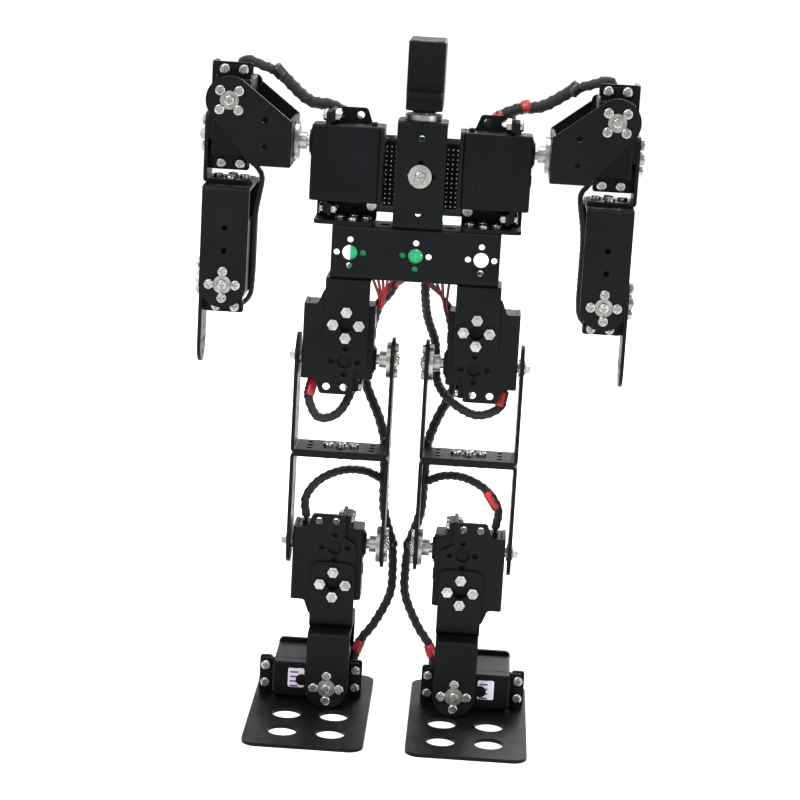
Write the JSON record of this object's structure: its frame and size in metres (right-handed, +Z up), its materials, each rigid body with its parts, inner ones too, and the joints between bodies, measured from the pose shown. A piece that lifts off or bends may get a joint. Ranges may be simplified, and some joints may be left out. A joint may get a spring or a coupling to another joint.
{
  "type": "humanoid robot kit",
  "caption": "Biped humanoid robot of black sheet-metal brackets and hobby servos, with a neck, shoulder, elbow, hip, knee and ankle joints and flat foot plates.",
  "frame": {"origin": "on the ground, under the middle of the robot's outline seen from above; the hip and knee axes are 24.3 mm behind it", "axes": "+Z up, -Y the way the robot faces, +X towards the robot's left"},
  "size_m": [0.2358, 0.1234, 0.3668],
  "materials": {
    "black_bracket": "black anodised, satin",
    "servo_plastic": "moulded black, satin",
    "fastener_steel": "zinc plated, bright",
    "horn_aluminium": "turned, bare",
    "controller_board": "solder mask, dark green",
    "power_board": "solder mask, bright green",
    "pin_header": "black strips with bare pins"
  },
  "bodies": {
    "torso": {"waist_beam": "black_bracket", "neck_bracket": "black_bracket", "neck_horn": "horn_aluminium", "shoulder_servos": "servo_plastic", "shoulder_brackets": "black_bracket", "shoulder_angles": "black_bracket", "hip_servos": "servo_plastic", "hip_brackets": "black_bracket", "hip_angles": "black_bracket", "controller_board": "controller_board", "board_components": "pin_header", "power_board": "power_board", "torso_fasteners": "fastener_steel"},
    "head": {"head_servo": "servo_plastic"},
    "left_shoulder": {"left_shoulder_link": "black_bracket", "left_shoulder_fittings": "fastener_steel"},
    "left_upper_arm": {"left_upper_arm_servo": "servo_plastic", "left_upper_arm_bracket": "black_bracket", "left_upper_arm_angle": "black_bracket", "left_elbow_bracket": "black_bracket", "left_elbow_fittings": "fastener_steel"},
    "left_forearm": {"left_forearm_servo": "servo_plastic", "left_forearm_bracket": "black_bracket", "left_hand_plate": "black_bracket", "left_forearm_fasteners": "fastener_steel"},
    "left_thigh": {"left_upper_thigh_bracket": "black_bracket", "left_lower_thigh_bracket": "black_bracket", "left_thigh_fittings": "fastener_steel"},
    "left_shin": {"left_knee_servo": "servo_plastic", "left_knee_bracket": "black_bracket", "left_ankle_angle": "black_bracket", "left_ankle_bracket": "black_bracket", "left_ankle_fittings": "fastener_steel"},
    "left_foot": {"left_foot_servo": "servo_plastic", "left_foot_bracket": "black_bracket", "left_foot_plate": "black_bracket", "left_foot_fasteners": "fastener_steel"},
    "right_shoulder": {"right_shoulder_link": "black_bracket", "right_shoulder_fittings": "fastener_steel"},
    "right_upper_arm": {"right_upper_arm_servo": "servo_plastic", "right_upper_arm_bracket": "black_bracket", "right_upper_arm_angle": "black_bracket", "right_elbow_bracket": "black_bracket", "right_elbow_fittings": "fastener_steel"},
    "right_forearm": {"right_forearm_servo": "servo_plastic", "right_forearm_bracket": "black_bracket", "right_hand_plate": "black_bracket", "right_forearm_fasteners": "fastener_steel"},
    "right_thigh": {"right_upper_thigh_bracket": "black_bracket", "right_lower_thigh_bracket": "black_bracket", "right_thigh_fittings": "fastener_steel"},
    "right_shin": {"right_knee_servo": "servo_plastic", "right_knee_bracket": "black_bracket", "right_ankle_angle": "black_bracket", "right_ankle_bracket": "black_bracket", "right_ankle_fittings": "fastener_steel"},
    "right_foot": {"right_foot_servo": "servo_plastic", "right_foot_bracket": "black_bracket", "right_foot_plate": "black_bracket", "right_foot_fasteners": "fastener_steel"}
  },
  "joints": [
    {"name": "neck_pan", "type": "hinge", "parent": "torso", "child": "head", "pos_m": [0, 0.0243, 0.3348], "axis": [0, 0, 1], "range_deg": [-90, 90]},
    {"name": "left_shoulder_swing", "type": "hinge", "parent": "torso", "child": "left_shoulder", "pos_m": [0.068, 0.0243, 0.3101], "axis": [-1, 0, 0], "range_deg": [-60, 90]},
    {"name": "left_arm_raise", "type": "hinge", "parent": "left_shoulder", "child": "left_upper_arm", "pos_m": [0.101, 0.0243, 0.3316], "axis": [0, -1, 0], "range_deg": [-3, 90]},
    {"name": "left_elbow_bend", "type": "hinge", "parent": "left_upper_arm", "child": "left_forearm", "pos_m": [0.101, 0.0243, 0.2343], "axis": [0, -1, 0], "range_deg": [-30, 90]},
    {"name": "left_hip_swing", "type": "hinge", "parent": "torso", "child": "left_thigh", "pos_m": [0.035, 0.0243, 0.194], "axis": [-1, 0, 0], "range_deg": [-45, 90]},
    {"name": "left_knee_bend", "type": "hinge", "parent": "left_thigh", "child": "left_shin", "pos_m": [0.035, 0.0243, 0.09], "axis": [1, 0, 0], "range_deg": [-30, 90]},
    {"name": "left_ankle_tilt", "type": "hinge", "parent": "left_shin", "child": "left_foot", "pos_m": [0.035, 0.0243, 0.014], "axis": [0, -1, 0], "range_deg": [-25, 25]},
    {"name": "right_shoulder_swing", "type": "hinge", "parent": "torso", "child": "right_shoulder", "pos_m": [-0.068, 0.0243, 0.3101], "axis": [-1, 0, 0], "range_deg": [-60, 90]},
    {"name": "right_arm_raise", "type": "hinge", "parent": "right_shoulder", "child": "right_upper_arm", "pos_m": [-0.101, 0.0243, 0.3316], "axis": [0, 1, 0], "range_deg": [-3, 90]},
    {"name": "right_elbow_bend", "type": "hinge", "parent": "right_upper_arm", "child": "right_forearm", "pos_m": [-0.101, 0.0243, 0.2343], "axis": [0, 1, 0], "range_deg": [-30, 90]},
    {"name": "right_hip_swing", "type": "hinge", "parent": "torso", "child": "right_thigh", "pos_m": [-0.035, 0.0243, 0.194], "axis": [-1, 0, 0], "range_deg": [-45, 90]},
    {"name": "right_knee_bend", "type": "hinge", "parent": "right_thigh", "child": "right_shin", "pos_m": [-0.035, 0.0243, 0.09], "axis": [1, 0, 0], "range_deg": [-30, 90]},
    {"name": "right_ankle_tilt", "type": "hinge", "parent": "right_shin", "child": "right_foot", "pos_m": [-0.035, 0.0243, 0.014], "axis": [0, 1, 0], "range_deg": [-25, 25]}
  ]
}
